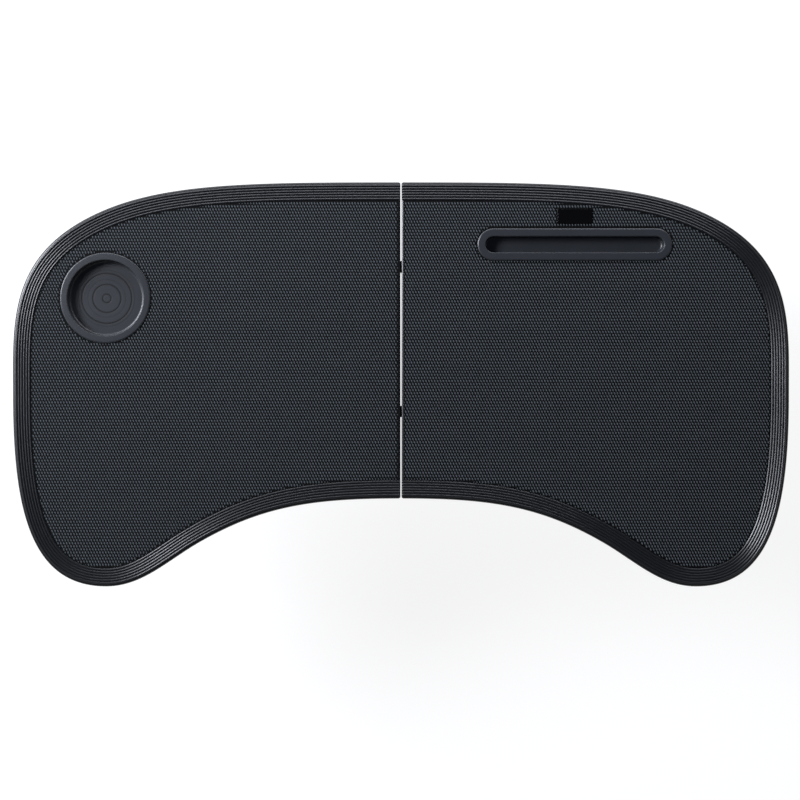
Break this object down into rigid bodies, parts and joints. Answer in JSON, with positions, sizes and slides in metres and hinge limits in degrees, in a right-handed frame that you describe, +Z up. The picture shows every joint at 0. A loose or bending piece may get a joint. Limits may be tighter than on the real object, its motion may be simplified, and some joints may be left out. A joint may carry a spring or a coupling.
{
  "type": "folding car tray table",
  "caption": "Kidney-shaped folding tray table of hinged leaves with textured mats, a cup recess, a device slot and folding leg frames.",
  "frame": {"origin": "on the floor, under the middle of the open table", "axes": "+X along the table's width towards the leaf with the device slot, +Y away from the user, +Z up"},
  "size_m": [0.6222, 0.324, 0.2111],
  "materials": {
    "deck_plastic": "satin moulded ABS, dark grey",
    "mat_rubber": "soft mat embossed with rows of small beads, dark grey",
    "trim_plastic": "fine matt moulded ABS, grey",
    "badge_gloss": "smooth black plate, bare",
    "leg_paint": "satin black powder coat on steel tube",
    "bracket_plastic": "matt moulded nylon, black",
    "pin_steel": "turned steel",
    "screw_steel": "black zinc-plated steel",
    "foot_rubber": "matt black rubber"
  },
  "bodies": {
    "left_leaf": {"left_deck": "deck_plastic", "left_mat": "mat_rubber", "cup_recess": "trim_plastic", "hinge_rear_left_plate": "bracket_plastic", "hinge_rear_left_pin": "pin_steel", "left_leg_bracket_rear": "bracket_plastic", "left_leg_pin_rear": "pin_steel", "hinge_screw_rear_inner_left": "screw_steel", "hinge_screw_rear_outer_left": "screw_steel", "leg_screw_rear_inner_left": "screw_steel", "leg_screw_rear_outer_left": "screw_steel", "hinge_front_left_plate": "bracket_plastic", "hinge_front_left_pin": "pin_steel", "left_leg_bracket_front": "bracket_plastic", "left_leg_pin_front": "pin_steel", "hinge_screw_front_inner_left": "screw_steel", "hinge_screw_front_outer_left": "screw_steel", "leg_screw_front_inner_left": "screw_steel", "leg_screw_front_outer_left": "screw_steel"},
    "hinge_links": {"hinge_rear_link": "bracket_plastic", "hinge_front_link": "bracket_plastic"},
    "right_leaf": {"right_deck": "deck_plastic", "right_mat": "mat_rubber", "device_slot": "trim_plastic", "blank_badge": "badge_gloss", "hinge_rear_right_plate": "bracket_plastic", "hinge_rear_right_pin": "pin_steel", "right_leg_bracket_rear": "bracket_plastic", "right_leg_pin_rear": "pin_steel", "hinge_screw_rear_inner_right": "screw_steel", "hinge_screw_rear_outer_right": "screw_steel", "leg_screw_rear_inner_right": "screw_steel", "leg_screw_rear_outer_right": "screw_steel", "hinge_front_right_plate": "bracket_plastic", "hinge_front_right_pin": "pin_steel", "right_leg_bracket_front": "bracket_plastic", "right_leg_pin_front": "pin_steel", "hinge_screw_front_inner_right": "screw_steel", "hinge_screw_front_outer_right": "screw_steel", "leg_screw_front_inner_right": "screw_steel", "leg_screw_front_outer_right": "screw_steel"},
    "left_leg": {"left_leg_tube": "leg_paint", "left_leg_eye_rear": "bracket_plastic", "left_foot_rear": "foot_rubber", "left_leg_eye_front": "bracket_plastic", "left_foot_front": "foot_rubber"},
    "right_leg": {"right_leg_tube": "leg_paint", "right_leg_eye_rear": "bracket_plastic", "right_foot_rear": "foot_rubber", "right_leg_eye_front": "bracket_plastic", "right_foot_front": "foot_rubber"}
  },
  "joints": [
    {"name": "left_hinge_fold", "type": "hinge", "parent": "left_leaf", "child": "hinge_links", "pos_m": [-0.0065, 0, 0.19129], "axis": [0, 1, 0], "range_deg": [0, 90]},
    {"name": "right_hinge_fold", "type": "hinge", "parent": "hinge_links", "child": "right_leaf", "pos_m": [0.0065, 0, 0.19129], "axis": [0, 1, 0], "range_deg": [0, 90]},
    {"name": "left_leg_fold", "type": "hinge", "parent": "left_leaf", "child": "left_leg", "pos_m": [-0.23301, 0, 0.19379], "axis": [0, -1, 0], "range_deg": [0, 95]},
    {"name": "right_leg_fold", "type": "hinge", "parent": "right_leaf", "child": "right_leg", "pos_m": [0.23301, 0, 0.19379], "axis": [0, 1, 0], "range_deg": [0, 95]}
  ],
  "couplings": [
    {"joint": "left_leg_fold", "follows": "left_hinge_fold", "ratio": 1.0556},
    {"joint": "right_leg_fold", "follows": "left_hinge_fold", "ratio": 1.0556}
  ]
}
